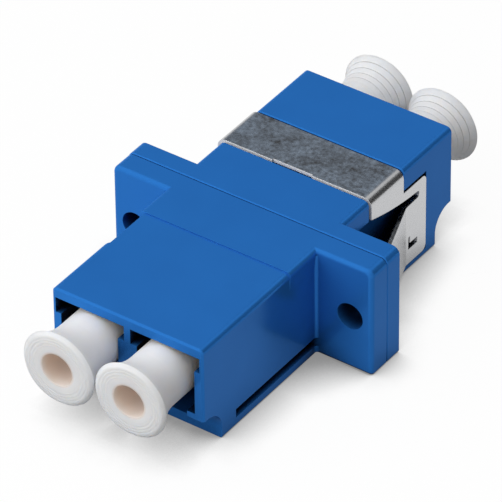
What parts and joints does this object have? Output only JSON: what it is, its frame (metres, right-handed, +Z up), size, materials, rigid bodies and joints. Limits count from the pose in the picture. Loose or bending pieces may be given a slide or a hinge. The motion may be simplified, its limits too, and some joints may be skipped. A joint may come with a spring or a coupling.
{
  "type": "lc duplex fibre adapter",
  "caption": "Duplex LC fibre adapter with a flanged moulded housing, a sprung panel clip and pull-out dust caps in its ports",
  "frame": {"origin": "middle of the two screw holes, on the flange's rear face, which is the face that meets the panel", "axes": "+X across the two ports, +Y from the front ports to the rear ports, +Z up, away from the latch side"},
  "size_m": [0.0228, 0.0407, 0.0096],
  "materials": {
    "blue_plastic": "moulded, semi-gloss",
    "spring_steel": "rolled stainless strip",
    "holder_plastic": "moulded, semi-gloss",
    "sleeve_ceramic": "polished zirconia",
    "cap_plastic": "moulded soft plastic"
  },
  "bodies": {
    "adapter": {"front_housing": "blue_plastic", "rear_housing": "blue_plastic", "spring_clip": "spring_steel", "sleeve_holder_front": "holder_plastic", "sleeve_holder_rear": "holder_plastic", "split_sleeve_left": "sleeve_ceramic", "split_sleeve_right": "sleeve_ceramic"},
    "cap_front_left": {"dust_cap_front_left": "cap_plastic"},
    "cap_front_right": {"dust_cap_front_right": "cap_plastic"},
    "cap_rear_left": {"dust_cap_rear_left": "cap_plastic"},
    "cap_rear_right": {"dust_cap_rear_right": "cap_plastic"}
  },
  "joints": [
    {"name": "pull_front_left", "type": "slide", "parent": "adapter", "child": "cap_front_left", "axis": [0, -1, 0], "range_m": [0, 0.013]},
    {"name": "pull_front_right", "type": "slide", "parent": "adapter", "child": "cap_front_right", "axis": [0, -1, 0], "range_m": [0, 0.013]},
    {"name": "pull_rear_left", "type": "slide", "parent": "adapter", "child": "cap_rear_left", "axis": [0, 1, 0], "range_m": [-0.0008, 0.013]},
    {"name": "pull_rear_right", "type": "slide", "parent": "adapter", "child": "cap_rear_right", "axis": [0, 1, 0], "range_m": [0, 0.013]}
  ]
}
